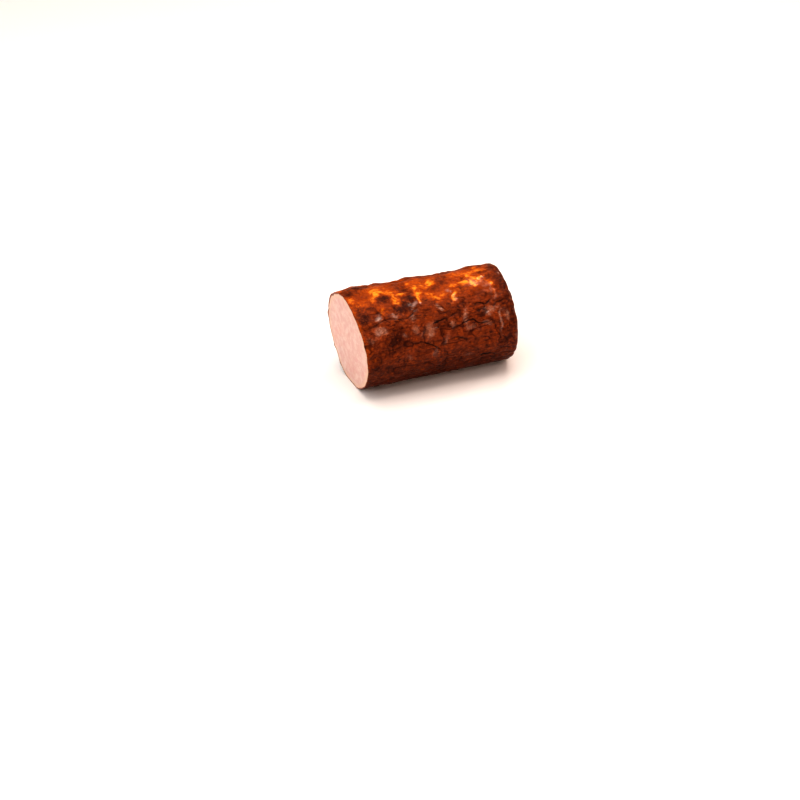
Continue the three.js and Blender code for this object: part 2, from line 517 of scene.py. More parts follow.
@dataclass(frozen=True)
class HiddenMarks:
    """Folds and patches of the sides that don't show, drawn at random in the manner of the front.

    Attributes:
        turns: the turns between which they lie, from the front's lower edge round the back.
        reach: how far they lie along the outline.
        folds, ambers, smokes, wets: how many of each.
        seed: of the draw.
        slope: degrees of turn for each millimetre that a fold usually runs off the straight.
        stretch: length of a fold's straight stretches, least and most.
        depth: of a fold, least and most.
        narrowness: width of a patch as a part of its length, least and most.
        tilt: degrees by which patches are usually turned.
    """

    turns: tuple[float, float] = (125.0, 340.0)
    reach: tuple[float, float] = (1.0, 88.0)
    folds: int = 30
    ambers: int = 16
    smokes: int = 24
    wets: int = 24
    seed: int = 5
    slope: float = 0.9
    stretch: tuple[float, float] = (4.0, 9.0)
    depth: tuple[float, float] = (0.3, 0.7)
    narrowness: tuple[float, float] = (0.35, 0.8)
    tilt: float = 25.0

    def draw_folds(self) -> tuple[Crease, ...]:
        """Draws folds that run mostly along the piece, in two to four bent stretches each."""
        draw = np.random.default_rng(self.seed)
        made = []
        for _ in range(self.folds):
            points = [(draw.uniform(*self.reach), draw.uniform(*self.turns))]
            slope = draw.normal(0, self.slope)
            for _ in range(draw.integers(2, 5)):
                step = draw.uniform(*self.stretch)
                bend = slope + draw.normal(0, self.slope)
                points.append((points[-1][0] + step, points[-1][1] + step * bend))
            made.append(Crease(tuple(points), draw.uniform(*self.depth)))
        return tuple(made)

    def draw_patches(self, count: int, size: tuple[float, float], strength: tuple[float, float],
                     seed: int) -> tuple[Patch, ...]:
        """Draws patches.

        Args:
            count: how many.
            size: the least and largest half length. The half width is about half of it.
            strength: the least and largest strength.
            seed: of the draw.

        Returns:
            The patches.
        """
        draw = np.random.default_rng(self.seed + seed)
        made = []
        for _ in range(count):
            at = (draw.uniform(*self.reach), draw.uniform(*self.turns))
            length = draw.uniform(*size)
            width = length * draw.uniform(*self.narrowness)
            made.append(Patch(at, (length, width), draw.normal(0, self.tilt), draw.uniform(*strength)))
        return tuple(made)


@dataclass(frozen=True)
class SkinRelief:
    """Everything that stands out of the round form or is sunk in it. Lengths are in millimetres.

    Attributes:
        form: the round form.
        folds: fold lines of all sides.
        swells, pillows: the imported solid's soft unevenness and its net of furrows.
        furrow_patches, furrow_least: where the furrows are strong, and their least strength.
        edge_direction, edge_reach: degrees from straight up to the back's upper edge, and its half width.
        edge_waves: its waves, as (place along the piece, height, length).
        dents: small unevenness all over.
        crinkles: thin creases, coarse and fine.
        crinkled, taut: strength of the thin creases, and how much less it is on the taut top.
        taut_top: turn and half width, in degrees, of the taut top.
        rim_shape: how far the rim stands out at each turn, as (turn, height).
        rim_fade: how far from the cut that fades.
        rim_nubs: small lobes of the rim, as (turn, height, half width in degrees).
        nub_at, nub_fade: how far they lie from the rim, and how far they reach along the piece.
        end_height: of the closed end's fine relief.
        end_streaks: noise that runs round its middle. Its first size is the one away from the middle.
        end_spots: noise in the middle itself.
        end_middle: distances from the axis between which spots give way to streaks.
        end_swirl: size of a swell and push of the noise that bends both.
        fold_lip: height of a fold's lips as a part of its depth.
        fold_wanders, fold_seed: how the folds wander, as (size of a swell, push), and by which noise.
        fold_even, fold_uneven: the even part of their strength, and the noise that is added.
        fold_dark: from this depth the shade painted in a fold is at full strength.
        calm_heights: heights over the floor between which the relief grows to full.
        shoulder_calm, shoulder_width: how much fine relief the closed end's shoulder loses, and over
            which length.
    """

    form: RoundForm
    folds: tuple[Crease, ...] = FOLDS_IN_FRONT
    swells: tuple[Swell, ...] = (Swell(34, 26, 0.75, 11), Swell(14, 10, 0.4, 23))
    pillows: Wrinkles = Wrinkles(13, 8, 0.8, 0.3, 3, 37)
    furrow_patches: Swell = Swell(24, 24, 1, 41)
    furrow_least: float = 0.3
    edge_direction: float = 29.0
    edge_reach: float = 26.0
    edge_waves: tuple[tuple[float, float, float], ...] = (
        (11.5, 1.3, 5), (19, 0.8, 5), (33, -0.6, 5), (42, 1.2, 6), (50, 1.3, 4.5), (61, -0.4, 9),
        (87, 1.0, 9),
    )
    dents: tuple[Swell, ...] = (Swell(9, 6.5, 0.6, 61), Swell(5, 4, 0.46, 67), Swell(2.2, 1.8, 0.12, 83))
    crinkles: tuple[Crinkles, ...] = (
        Crinkles(11, 6.5, 0.45, 0.08, -0.4, 57), Crinkles(5.5, 3.8, 0.3, 0.12, -0.3, 71),
    )
    crinkled: float = 1.15
    taut: float = 0.8
    taut_top: tuple[float, float] = (8.0, 32.0)
    rim_shape: tuple[tuple[float, float], ...] = (
        (0, 0.0), (30, -0.9), (60, -0.7), (90, -0.3), (120, 0.0), (150, 0.1), (180, -0.3), (210, 0.4),
        (230, -1.3), (250, -1.0), (270, 0.4), (300, -0.8), (330, -0.6), (360, 0.0),
    )
    rim_fade: float = 7.0
    rim_nubs: tuple[tuple[float, float, float], ...] = (
        (276, 1.3, 5), (235, 0.6, 3), (214, 0.8, 3), (61, 0.3, 4),
    )
    nub_at: float = 0.5
    nub_fade: float = 1.6
    end_height: float = 0.14
    end_streaks: Swell = Swell(1, 4.5, 1, 149)
    end_spots: tuple[Swell, ...] = (Swell(3, 2.2, 1, 150), Swell(1, 1, 0.5, 151))
    end_middle: tuple[float, float] = (5.0, 17.0)
    end_swirl: tuple[float, float] = (6.0, 1.6)
    fold_lip: float = 0.4
    fold_wanders: tuple[tuple[float, float], ...] = ((5.0, 0.9), (1.8, 0.45))
    fold_seed: int = 101
    fold_even: float = 0.75
    fold_uneven: Swell = Swell(3, 3, 0.35, 103)
    fold_dark: float = 0.7
    calm_heights: tuple[float, float] = (1.0, 9.0)
    shoulder_calm: float = 0.5
    shoulder_width: float = 9.0

    def broad(self, x: Array, y: Array, z: Array) -> Array:
        """Gives the broad relief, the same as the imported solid's: swells, pillows and edge waves."""
        height = total(self.swells, x, y, z)
        least = self.furrow_least
        strength = least + (1 - least) * smooth_step(-0.4, 0.4, self.furrow_patches.rise(x, y, z))
        height -= self.pillows.depth * strength * self.pillows.sunk(x, y, z)
        lean = np.degrees(np.arctan2(y, z))
        edge = bell(lean - self.edge_direction, self.edge_reach) * smooth_step(0, self.form.radius, z)
        for at, rise, length in self.edge_waves:
            height += rise * edge * bell(x - at, length)
        return height

    def fold_marks(self, places: Places) -> tuple[Array, Array]:
        """Works out the folds: a narrow groove along each, with the skin swollen on both sides.

        Each point is first pushed about by noise, so that the straight stretches of a fold wander.
        Its height is -depth · exp(-(d/w)²) + lip · depth · exp(-((d - 2w)/1.5w)²) for the distance d.
        The root of a sine makes the fold fade at both ends.

        Args:
            places: the points.

        Returns:
            The height, and how deep each point is in a fold, from 0 to 1, which is painted dark as shade.
        """
        way, turn = pushed(places, self.fold_wanders, self.form.degree, self.fold_seed)
        uneven = self.fold_even + self.fold_uneven.rise(*places.xyz)
        height, fold_shade = np.zeros_like(way), np.zeros_like(way)
        for fold in self.folds:
            distance, part = fold.nearest(way, turn, self.form.degree)
            taper = uneven * np.sqrt(np.clip(np.sin(math.pi * (0.04 + 0.92 * part)), 0, 1))
            lip = bell(distance - 2 * fold.width, 1.5 * fold.width)
            height += fold.depth * taper * (self.fold_lip * lip - bell(distance, fold.width))
            # The skin is painted dark in a fold as shade, more where the fold is deep.
            if fold.depth > 0:
                dark = min(1, fold.depth / self.fold_dark)
                fold_shade = np.maximum(fold_shade, taper * bell(distance, 0.9 * fold.width) * dark)
        return height, fold_shade

    def end_pattern(self, x: Array, y: Array, z: Array) -> Array:
        """Gives the closed end's noise: spots in its middle and streaks round it, from -1 to 1."""
        x, y, z = swirled(x, y, z, *self.end_swirl)
        away = np.hypot(y, z)
        streak, spot = self.end_streaks.rise(away, y, z), total(self.end_spots, x, y, z)
        return spot + (streak - spot) * smooth_step(*self.end_middle, away)

    def work_out(self, places: Places) -> tuple[Array, Array, Array]:
        """Adds up the whole relief.

        Args:
            places: the points.

        Returns:
            The height, how deep each point is in a fold, and how deep in the nets of wrinkles, together with
            the closed end's streaks. The folds and the wrinkles are painted dark as shade.
        """
        form, (x, y, z) = self.form, places.xyz
        height, fold_shade = self.fold_marks(places)
        for dent in self.dents:
            height += dent.rise(x, y, z)
        near_tip = smooth_step(form.side_length - 1, form.length - 2, x)
        top, half = self.taut_top
        loose = (self.crinkled - self.taut * bell(wrapped(places.turn, top), half)) * (1 - near_tip)
        net = np.zeros_like(x)
        for crinkles in self.crinkles:
            sunk = crinkles.sunk(x, y, z) * loose
            height -= crinkles.depth * sunk
            # The skin is painted dark in these thin creases as shade.
            net = np.maximum(net, sunk * crinkles.depth / self.crinkles[0].depth)
        pattern = self.end_pattern(x, y, z)
        height += self.end_height * near_tip * pattern
        # The closed end's streaks are darker in colour, on the same mark.
        net = np.maximum(net, near_tip * smooth_step(-0.25, 0.75, pattern))
        shoulder = smooth_step(form.side_length - self.shoulder_width, form.side_length, x)
        height *= 1 - self.shoulder_calm * shoulder
        height = (height + self.broad(x, y, z)) * smooth_step(*self.calm_heights, z + form.radius)
        turns, rises = zip(*self.rim_shape)
        height += np.interp(places.turn, turns, rises) * bell(places.way, self.rim_fade)
        for at, rise, width in self.rim_nubs:
            lobe = rise * bell(wrapped(places.turn, at), width)
            height += lobe * bell(places.way - self.nub_at, self.nub_fade)
        return height, fold_shade, net


@dataclass(frozen=True)
class SkinMarks:
    """Where the skin is lightly smoked, amber, dark with smoke, painted dark as shade on its low side, and
    wet with fat, where it is also painted pale as sheen.

    Attributes:
        form: the round form.
        ambers, smokes, wets: patches of all sides.
        ragged, ragged_seed: how their edges wander, as (size of a swell, push) in millimetres, and by
            which noise.
        warm_middle, warm_half: turn of the lightly smoked band along the top, and the degrees from
            there over which it fades.
        warm_push: how far that edge wanders, in degrees.
        end_warm, end_push: distances from the axis over which the closed end's lightly smoked middle
            fades, and how far that edge wanders, in millimetres.
        warm_wander: the noise that both edges follow.
        threads, thread_width: noise on whose zero lines dark threads cross the amber, and their width
            in units of it.
        thread_dark: how much amber a thread takes.
        amber_gain: strength of the amber between the threads.
        end_flecks: noise of the amber flecks in the closed end's middle. The first runs round it.
        end_glow: strength of the flecks.
        end_amber: distances from the axis over which the flecks fade.
        end_swirl: size of a swell and push of the noise that bends them.
        low_painted_shade, low_depths: strength of the shade painted on the side's low parts, and the depths
        under the axis over which it darkens them.
        side_reach: distances from the axis that count as the side.
        drops, drop_strength: noise and strength of the small wet places of the sides that don't show.
        front_turn, front_half: turn of the middle of the front, and the degrees from there over which
            the small wet places begin.
        shoulder_smoke, shoulder_wander: how dark the closed end's shoulder is, and its edge's noise.
        shoulder_push: how far that edge wanders, in millimetres.
        shoulder_start, shoulder_reach: places along the piece and distances from the axis over which
            the shoulder darkens.
    """

    form: RoundForm
    ambers: tuple[Patch, ...] = AMBER_ON_TOP
    smokes: tuple[Patch, ...] = SMOKE_IN_FRONT
    wets: tuple[Patch, ...] = WET_IN_FRONT
    ragged: tuple[float, float] = (3.5, 2.0)
    ragged_seed: int = 111
    warm_middle: float = 5.0
    warm_half: tuple[float, float] = (14.0, 36.0)
    warm_push: float = 13.0
    end_warm: tuple[float, float] = (9.0, 23.0)
    end_push: float = 4.0
    warm_wander: tuple[Swell, ...] = (Swell(12, 9, 1, 121), Swell(5, 4, 0.5, 122))
    threads: tuple[Swell, ...] = (Swell(3.6, 2.2, 1, 129), Swell(1.8, 1.2, 0.5, 130))
    thread_width: float = 0.28
    thread_dark: float = 0.75
    amber_gain: float = 1.25
    end_flecks: tuple[Swell, Swell] = (Swell(2.2, 4, 1, 127), Swell(2, 1.6, 0.6, 128))
    end_glow: float = 0.5
    end_amber: tuple[float, float] = (12.0, 21.0)
    end_swirl: tuple[float, float] = (5.0, 1.5)
    low_painted_shade: float = 0.7
    low_depths: tuple[float, float] = (-8.0, 20.0)
    side_reach: tuple[float, float] = (16.0, 28.0)
    drops: tuple[Swell, ...] = (Swell(6, 4.5, 1, 133), Swell(1.8, 1.5, 0.4, 134))
    drop_strength: float = 0.45
    front_turn: float = 52.0
    front_half: tuple[float, float] = (95.0, 130.0)
    shoulder_smoke: float = 0.55
    shoulder_wander: tuple[Swell, ...] = (Swell(9, 9, 1, 125), Swell(2, 3, 0.6, 126))
    shoulder_push: float = 2.0
    shoulder_start: tuple[float, float] = (86.0, 93.0)
    shoulder_reach: tuple[float, float] = (14.0, 24.0)

    def on_end(self, x: Array) -> Array:
        """Rises from 0 where the closed end begins to swell to 1 at its tip."""
        return smooth_step(self.form.side_length, self.form.length, x)

    def warmth(self, places: Places) -> Array:
        """Gives how lightly each point is smoked: a band along the top, and the closed end's middle."""
        x, y, z = places.xyz
        wander = total(self.warm_wander, x, y, z)
        off = np.abs(wrapped(places.turn, self.warm_middle))
        band = 1 - smooth_step(*self.warm_half, off + self.warm_push * wander)
        side = 1 - smooth_step(self.form.side_length - 6, self.form.side_length + 2, x)
        middle = 1 - smooth_step(*self.end_warm, np.hypot(y, z) + self.end_push * wander)
        return np.maximum(band * side, middle * self.on_end(x))

    def amber(self, places: Places) -> Array:
        """Gives the amber patches, crossed by dark threads, and the closed end's flecks."""
        thread = total(self.threads, *places.xyz)
        lace = self.amber_gain - self.thread_dark * bell(thread, self.thread_width)
        x, y, z = swirled(*places.xyz, *self.end_swirl)
        away = np.hypot(y, z)
        ring, spot = self.end_flecks
        fleck = ring.rise(away, y, z) + spot.rise(x, y, z)
        middle = 1 - smooth_step(*self.end_amber, away + 3 * fleck)
        flecks = self.end_glow * middle * smooth_step(-0.1, 0.9, fleck) * self.on_end(x)
        return np.maximum(self.painted(self.ambers, places) * lace, flecks)

    def smoke(self, places: Places) -> Array:
        """Gives the dark patches, the closed end's dark shoulder and the shade painted on the side's low
        parts.
        """
        x, y, z = places.xyz
        wander = total(self.shoulder_wander, x, y, z)
        start = smooth_step(*self.shoulder_start, x + self.shoulder_push * wander)
        reach = smooth_step(*self.shoulder_reach, np.hypot(y, z) + self.shoulder_push * wander)
        shoulder = self.shoulder_smoke * start * reach
        # The side's low parts are painted darker as shade.
        side = smooth_step(*self.side_reach, np.hypot(y, z))
        low = self.low_painted_shade * smooth_step(*self.low_depths, -z) * side
        return np.maximum(np.maximum(self.painted(self.smokes, places), shoulder), low)

    def wet(self, places: Places) -> Array:
        """Gives the wet patches and small wet places behind, underneath and on the closed end, which shine
        and are painted pale as sheen.
        """
        drop = smooth_step(0.0, 0.7, total(self.drops, *places.xyz))
        behind = smooth_step(*self.front_half, np.abs(wrapped(places.turn, self.front_turn)))
        closed = smooth_step(self.form.side_length - 2, self.form.side_length + 2, places.x)
        dew = self.drop_strength * drop * np.maximum(behind, closed)
        return np.maximum(self.painted(self.wets, places), dew)

    def painted(self, patches: tuple[Patch, ...], places: Places) -> Array:
        """Gives the strongest patch at each point, with edges pushed about by noise.

        Each patch is strength · exp(-(d/0.9)²) for the distance d, where 1 is its oval's edge.

        Args:
            patches: the patches.
            places: the points.

        Returns:
            Strengths from 0 to 1.
        """
        degree = self.form.degree
        way, turn = pushed(places, (self.ragged,), degree, self.ragged_seed)
        strength = np.zeros_like(way)
        for patch in patches:
            tilt = math.radians(patch.tilt)
            u, v = way - patch.at[0], wrapped(turn, patch.at[1]) * degree
            length = (u * math.cos(tilt) + v * math.sin(tilt)) / patch.size[0]
            width = (v * math.cos(tilt) - u * math.sin(tilt)) / patch.size[1]
            strength = np.maximum(strength, patch.strength * bell(np.hypot(length, width), 0.9))
        return strength


# Materials

def linear(code: str) -> tuple[float, float, float, float]:
    """Turns an sRGB hex colour such as "#6e2410" into linear red, green, blue and alpha."""
    parts = [int(code[i:i + 2], 16) / 255 for i in (1, 3, 5)]
    return (*(c / 12.92 if c <= 0.04045 else ((c + 0.055) / 1.055) ** 2.4 for c in parts), 1.0)


def add(tree: bpy.types.NodeTree, kind: str, inputs: dict[Any, Any] | None = None,
        **settings: Any) -> bpy.types.Node:
    """Adds a node to a material's tree.

    Args:
        tree: the tree.
        kind: the node's type name without "ShaderNode".
        inputs: for each input, by name or number, the output that is linked to it, or a value. Text is
            an sRGB hex colour. A Mix node of colours has its factor at 0 and the two colours at 6 and 7.
        settings: properties of the node. A list of (place, hex colour) named stops sets a colour ramp.

    Returns:
        The node.
    """
    node = tree.nodes.new("ShaderNode" + kind)
    stops = settings.pop("stops", None)
    for name, value in settings.items():
        setattr(node, name, value)
    if stops:
        ramp = node.color_ramp
        while len(ramp.elements) < len(stops):
            ramp.elements.new(1.0)
        for element, (place, colour) in zip(ramp.elements, stops):
            element.position = place
            element.color = linear(colour)
    for name, value in (inputs or {}).items():
        if isinstance(value, bpy.types.NodeSocket):
            tree.links.new(value, node.inputs[name])
        else:
            node.inputs[name].default_value = linear(value) if isinstance(value, str) else value
    return node


def new_material(name: str) -> tuple[bpy.types.Material, bpy.types.NodeTree]:
    """Makes an empty node material and gives it with its tree."""
    material = bpy.data.materials.new(name)
    material.use_nodes = True
    material.node_tree.nodes.clear()
    return material, material.node_tree


@dataclass(frozen=True)
class SmokedSkin:
    """Collagen casing browned by smoke and heat, wet with its own fat.

    The smoke gives a mahogany brown, amber where it hardly reached. The folds and fine creases are
    painted nearly black as shade, the low side darker as shade, and the wet patches pale as sheen. The
    film of fat gives small sharp lights over a satin body.

    Attributes:
        light_brown, dark_brown: the two ends of the body's mottle.
        warm_brown: of the lightly smoked parts.
        dried_fat_and_painted_sheen: of the pale film on the wet patches, which also paints their sheen.
        smoke, fold: of the dark patches, of the shade painted on the low side and in the fine creases, and
        of the shade painted in the folds.
        amber, amber_edge: of the middle and of the edge of an amber patch.
        roughness: where the skin is dry, and where it is wet.
        fat_film: strength of the clear film of fat, where the skin is dry and where it is wet.
        mottle_mm, speck_mm, film_mm: sizes of the mottle, the specks and the film's uneven spread.
        streak_mm, pit_mm, wrinkle_mm: sizes of streaks, dark pits and fine wrinkles, along and across.
        wrinkle_depth_mm, film_wrinkle_depth_mm: depth of the fine wrinkles in the skin and in the film.
    """

    light_brown: str = "#823b17"
    dark_brown: str = "#3d1608"
    warm_brown: str = "#903e06"
    dried_fat_and_painted_sheen: str = "#9e6850"
    smoke: str = "#330e05"
    fold: str = "#1c0703"
    amber: str = "#f0a436"
    amber_edge: str = "#c45c08"
    roughness: tuple[float, float] = (0.52, 0.3)
    fat_film: tuple[float, float] = (0.04, 1.0)
    mottle_mm: float = 3.4
    streak_mm: tuple[float, float] = (3.6, 0.9)
    speck_mm: float = 1.5
    pit_mm: tuple[float, float] = (1.7, 0.8)
    film_mm: float = 7.0
    wrinkle_mm: tuple[float, float] = (2.4, 0.9)
    wrinkle_depth_mm: float = 0.3
    film_wrinkle_depth_mm: float = 0.11

    def build(self) -> bpy.types.Material:
        """Makes the material from the piece's own attributes and noise in Object coordinates."""
        material, tree = new_material("smoked_casing_with_fat_film")
        place = add(tree, "TexCoord").outputs["Object"]
        marks = {name: add(tree, "Attribute", attribute_name=name).outputs["Fac"]
                 for name in ("warm", "amber", "smoke", "fold", "net", "wet")}
        noises = {}
        for name, along, across, detail in (
            ("mottle", self.mottle_mm, self.mottle_mm, 5.0), ("streak", *self.streak_mm, 4.0),
            ("speck", self.speck_mm, self.speck_mm, 3.0), ("film", self.film_mm, self.film_mm, 3.0),
            ("wrinkle", *self.wrinkle_mm, 4.0), ("pit", *self.pit_mm, 2.0),
        ):
            stretched = add(tree, "Mapping", {"Vector": place, "Scale": (across / along, 1.0, 1.0)})
            noises[name] = add(tree, "TexNoise", {
                "Vector": stretched.outputs[0], "Scale": 1 / (across * MM), "Detail": detail,
                "Roughness": 0.55, "Distortion": 0.4}).outputs["Fac"]
        uneven = add(tree, "MapRange", {0: noises["speck"], 1: 0.3, 2: 0.7, 3: -0.2, 4: 0.2}).outputs[0]
        blotchy = add(tree, "Math", {0: noises["streak"], 1: 0.8, 2: noises["mottle"]},
                      operation="MULTIPLY_ADD")
        marks["pit"] = noises["pit"]

        colour = add(tree, "ValToRGB", {"Fac": blotchy.outputs[0]},
                     stops=[(0.64, self.dark_brown), (1.0, self.light_brown)]).outputs[0]
        # Each layer has its mark, the mark's range, the shares of the tint at both ends of that range,
        # the tint, and how far the specks fray its edge.
        layers = (
            # The wet patches are painted pale as sheen.
            ("wet", (0.25, 0.9, 0.0, 0.7), self.dried_fat_and_painted_sheen, 1.4),
            ("warm", (0.1, 0.9, 0.0, 0.82), self.warm_brown, 1.4),
            ("amber", (0.0, 0.55, 0.0, 0.9), self.amber_edge, 0.8),
            ("amber", (0.35, 1.1, 0.0, 0.95), self.amber, 0.9),
            # The smoke mark also holds the shade painted on the side's low parts.
            ("smoke", (0.1, 0.9, 0.0, 0.85), self.smoke, -1.2),
            ("pit", (0.56, 0.7, 0.0, 0.3), self.smoke, 0.2),
            # Painted shade in the thin creases.
            ("net", (0.25, 0.9, 0.0, 0.7), self.smoke, 0.3),
            # Painted shade in the folds.
            ("fold", (0.08, 0.55, 0.0, 0.95), self.fold, 0.1),
        )
        for name, (low, high, least, most), tint, ragged in layers:
            frayed = add(tree, "Math", {0: uneven, 1: ragged, 2: marks[name]}, operation="MULTIPLY_ADD")
            share = add(tree, "MapRange", {0: frayed.outputs[0], 1: low, 2: high, 3: least, 4: most})
            colour = add(tree, "Mix", {0: share.outputs[0], 6: colour, 7: tint}, data_type="RGBA").outputs[2]

        spread = add(tree, "Math", {0: noises["film"], 1: 0.5, 2: marks["wet"]}, operation="MULTIPLY_ADD")
        satin = add(tree, "MapRange", {0: spread.outputs[0], 1: 0.4, 2: 0.9, 3: self.roughness[0],
                                       4: self.roughness[1]})
        film = add(tree, "MapRange", {0: spread.outputs[0], 1: 0.4, 2: 0.95, 3: self.fat_film[0],
                                      4: self.fat_film[1]})
        bump = add(tree, "Bump", {"Height": noises["wrinkle"], "Distance": self.wrinkle_depth_mm * MM})
        film_bump = add(tree, "Bump", {"Height": noises["wrinkle"],
                                       "Distance": self.film_wrinkle_depth_mm * MM})
        # The bare skin hardly shines. Nearly all of its gloss is the coat, which stands for the fat.
        shader = add(tree, "BsdfPrincipled", {
            "Base Color": colour, "Roughness": satin.outputs[0], "IOR": 1.45, "Specular IOR Level": 0.1,
            "Normal": bump.outputs[0], "Coat Normal": film_bump.outputs[0],
            "Coat Weight": film.outputs[0], "Coat Roughness": 0.13, "Coat IOR": 1.5,
            "Subsurface Weight": 0.05, "Subsurface Radius": (1.0, 0.3, 0.1), "Subsurface Scale": 0.002,
        })
        add(tree, "OutputMaterial", {"Surface": shader.outputs[0]})
        return material


@dataclass(frozen=True)
class CutMeat:
    """Finely chopped cooked meat, cut with a sharp knife: matt, moist and a little translucent.

    Attributes:
        skin_line: of the skin's cut edge.
        edge: of the paler and yellower ring inside it.
        meat, rosy, pale: of the meat, and of its pinker and paler parts.
        cloud_mm, fleck_mm, grain_mm: sizes of its soft clouds, its flecks of fat and its grain.
        grain_depth_mm: depth of the grain.
    """

    skin_line: str = "#7c3412"
    edge: str = "#dcb79c"
    meat: str = "#d3ab9e"
    rosy: str = "#d1a197"
    pale: str = "#dab9ad"
    cloud_mm: float = 3.6
    fleck_mm: float = 0.8
    grain_mm: float = 0.8
    grain_depth_mm: float = 0.08

    def build(self) -> bpy.types.Material:
        """Makes the material from the distance from the rim and noise in Object coordinates."""
        material, tree = new_material("fresh_cut_cooked_meat")
        place = add(tree, "TexCoord").outputs["Object"]
        rim = add(tree, "Attribute", attribute_name="rim").outputs["Fac"]
        cloud = add(tree, "TexNoise", {"Vector": place, "Scale": 1 / (self.cloud_mm * MM), "Detail": 2.0,
                                       "Roughness": 0.5, "Distortion": 0.3})
        fleck = add(tree, "TexNoise", {"Vector": place, "Scale": 1 / (self.fleck_mm * MM), "Detail": 3.0,
                                       "Roughness": 0.6, "Distortion": 0.6})
        mixed = add(tree, "Math", {0: fleck.outputs["Fac"], 1: 0.7, 2: cloud.outputs["Fac"]},
                    operation="MULTIPLY_ADD")
        colour = add(tree, "ValToRGB", {"Fac": mixed.outputs[0]},
                     stops=[(0.65, self.rosy), (0.84, self.meat), (1.0, self.pale)]).outputs[0]
        wander = add(tree, "Math", {0: cloud.outputs["Fac"], 1: 2.0, 2: rim},
                     operation="MULTIPLY_ADD").outputs[0]
        # Each ring has its distance from the skin, the millimetres over which it fades, its share and tint.
        rings = ((wander, 1.5, 5.0, 0.85, self.edge), (rim, 0.3, 0.8, 1.0, self.skin_line))
        for distance, low, high, most, tint in rings:
            share = add(tree, "MapRange", {0: distance, 1: low, 2: high, 3: most, 4: 0.0})
            colour = add(tree, "Mix", {0: share.outputs[0], 6: colour, 7: tint}, data_type="RGBA").outputs[2]
        grain = add(tree, "TexNoise", {"Vector": place, "Scale": 1 / (self.grain_mm * MM), "Detail": 4.0})
        bump = add(tree, "Bump", {"Height": grain.outputs["Fac"], "Distance": self.grain_depth_mm * MM})
        shader = add(tree, "BsdfPrincipled", {
            "Base Color": colour, "Roughness": 0.5, "IOR": 1.4, "Normal": bump.outputs[0],
            "Subsurface Weight": 0.2, "Subsurface Radius": (1.0, 0.4, 0.25), "Subsurface Scale": 0.002,
        })
        add(tree, "OutputMaterial", {"Surface": shader.outputs[0]})
        return material


@dataclass(frozen=True)
class PaleFloor:
    """Matt white studio card."""

    colour: str = "#f4f2f0"

    def build(self) -> bpy.types.Material:
        """Makes the material."""
        material, tree = new_material("matt_white_studio_card")
        shader = add(tree, "BsdfPrincipled", {"Base Color": self.colour, "Roughness": 0.9})
        add(tree, "OutputMaterial", {"Surface": shader.outputs[0]})
        return material


# The piece

